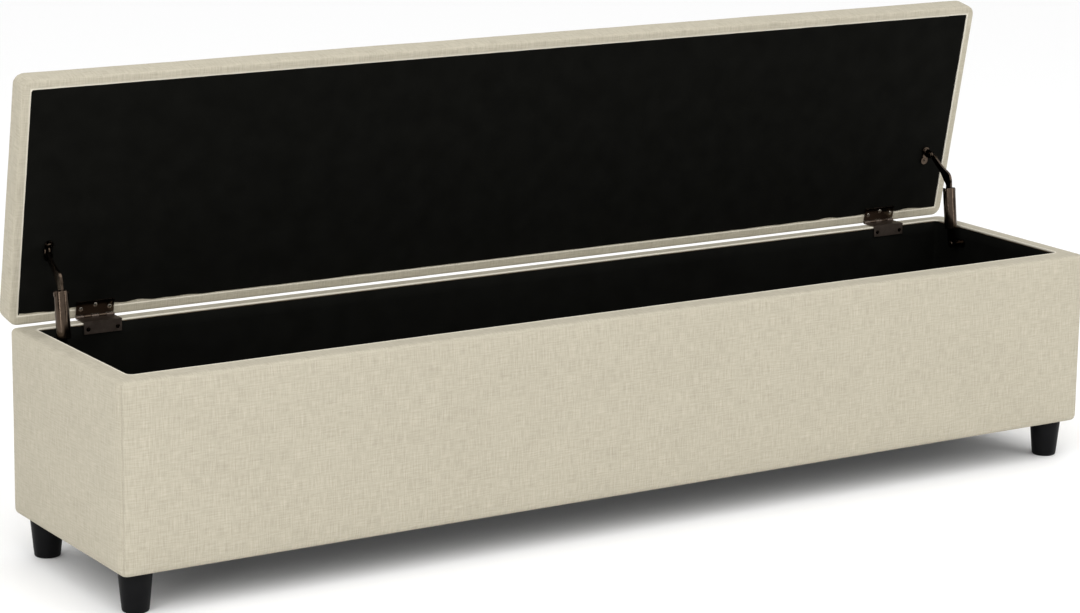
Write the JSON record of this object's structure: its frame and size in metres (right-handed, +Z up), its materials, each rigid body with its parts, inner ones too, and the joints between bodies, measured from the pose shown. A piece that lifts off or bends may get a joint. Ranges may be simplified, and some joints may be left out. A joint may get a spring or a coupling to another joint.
{
  "type": "storage bench",
  "caption": "Long upholstered storage bench: padded linen box on short tapered feet, with a padded lid hinged at the rear and held open by folding spring stays.",
  "frame": {"origin": "on the floor, below the middle of the bench as it stands with its lid open", "axes": "+X along the bench to its right end as seen from the front, -Y towards the front, +Z up"},
  "size_m": [1.8, 0.4372, 0.7466],
  "materials": {
    "linen": "cream linen weave",
    "black_lining": "black non-woven cloth",
    "padding": "foam and wadding",
    "board": "raw board",
    "foot_black": "satin black",
    "bronze_steel": "dark bronze plated",
    "zinc_steel": "zinc plated"
  },
  "bodies": {
    "body": {"front_panel": "board", "rear_panel": "board", "left_end_panel": "board", "right_end_panel": "board", "bottom_board": "board", "corner_block_front_left": "board", "corner_block_front_right": "board", "corner_block_rear_left": "board", "corner_block_rear_right": "board", "foot_front_left": "foot_black", "foot_front_right": "foot_black", "foot_rear_left": "foot_black", "foot_rear_right": "foot_black", "foot_bolt_front_left": "zinc_steel", "foot_bolt_front_right": "zinc_steel", "foot_bolt_rear_left": "zinc_steel", "foot_bolt_rear_right": "zinc_steel", "body_padding": "padding", "body_cover": "linen", "storage_lining": "black_lining", "dust_cover": "black_lining", "hinge_body_leaf_left": "bronze_steel", "hinge_body_leaf_right": "bronze_steel", "hinge_pin_left": "bronze_steel", "hinge_pin_right": "bronze_steel", "hinge_body_screw_left_1": "bronze_steel", "hinge_body_screw_left_2": "bronze_steel", "hinge_body_screw_right_1": "bronze_steel", "hinge_body_screw_right_2": "bronze_steel", "stay_wall_bracket_left": "bronze_steel", "stay_wall_bracket_right": "bronze_steel"},
    "lid": {"lid_board": "board", "lid_foam": "padding", "lid_cover": "linen", "lid_lining": "black_lining", "hinge_lid_leaf_left": "bronze_steel", "hinge_lid_leaf_right": "bronze_steel", "hinge_lid_screw_left_1": "bronze_steel", "hinge_lid_screw_left_2": "bronze_steel", "hinge_lid_screw_left_3": "bronze_steel", "hinge_lid_screw_right_1": "bronze_steel", "hinge_lid_screw_right_2": "bronze_steel", "hinge_lid_screw_right_3": "bronze_steel", "stay_lid_bracket_left": "bronze_steel", "stay_lid_bracket_right": "bronze_steel", "stay_lid_rivet_left": "bronze_steel", "stay_lid_rivet_right": "bronze_steel"},
    "stay_arm_left": {"stay_arm_left": "bronze_steel"},
    "stay_tube_left": {"stay_tube_left": "bronze_steel", "stay_elbow_pin_left": "bronze_steel", "stay_foot_rivet_left": "bronze_steel", "stay_spring_left": "zinc_steel"},
    "stay_plunger_left": {"stay_plunger_left": "zinc_steel"},
    "stay_arm_right": {"stay_arm_right": "bronze_steel"},
    "stay_tube_right": {"stay_tube_right": "bronze_steel", "stay_elbow_pin_right": "bronze_steel", "stay_foot_rivet_right": "bronze_steel", "stay_spring_right": "zinc_steel"},
    "stay_plunger_right": {"stay_plunger_right": "zinc_steel"}
  },
  "joints": [
    {"name": "lid_hinge", "type": "hinge", "parent": "body", "child": "lid", "pos_m": [0, 0.1713, 0.3565], "axis": [-1, 0, 0], "range_deg": [-79.8, 0]},
    {"name": "stay_arm_pivot_left", "type": "hinge", "parent": "lid", "child": "stay_arm_left", "pos_m": [-0.85, 0.14212, 0.47256], "axis": [-1, 0, 0], "range_deg": [-0.5, 99.63]},
    {"name": "stay_elbow_left", "type": "hinge", "parent": "stay_arm_left", "child": "stay_tube_left", "pos_m": [-0.85, 0.0903, 0.417], "axis": [-1, 0, 0], "range_deg": [-123.51, 0.5]},
    {"name": "stay_plunger_slide_left", "type": "slide", "parent": "stay_tube_left", "child": "stay_plunger_left", "axis": [0, 0.1273, 0.9919], "range_m": [-0.0021, 0.0001], "deforming": ["stay_spring_left"]},
    {"name": "stay_arm_pivot_right", "type": "hinge", "parent": "lid", "child": "stay_arm_right", "pos_m": [0.85, 0.14212, 0.47256], "axis": [-1, 0, 0], "range_deg": [-0.5, 99.63]},
    {"name": "stay_elbow_right", "type": "hinge", "parent": "stay_arm_right", "child": "stay_tube_right", "pos_m": [0.85, 0.0903, 0.417], "axis": [-1, 0, 0], "range_deg": [-123.51, 0.5]},
    {"name": "stay_plunger_slide_right", "type": "slide", "parent": "stay_tube_right", "child": "stay_plunger_right", "axis": [0, 0.1273, 0.9919], "range_m": [-0.0021, 0.0001], "deforming": ["stay_spring_right"]}
  ],
  "couplings": [
    {"joint": "stay_arm_pivot_left", "follows": "lid_hinge", "ratio": -1.2422},
    {"joint": "stay_elbow_left", "follows": "lid_hinge", "ratio": 1.5414},
    {"joint": "stay_plunger_slide_left", "follows": "lid_hinge", "m_per_rad": 0.001436},
    {"joint": "stay_arm_pivot_right", "follows": "lid_hinge", "ratio": -1.2422},
    {"joint": "stay_elbow_right", "follows": "lid_hinge", "ratio": 1.5414},
    {"joint": "stay_plunger_slide_right", "follows": "lid_hinge", "m_per_rad": 0.001436}
  ]
}
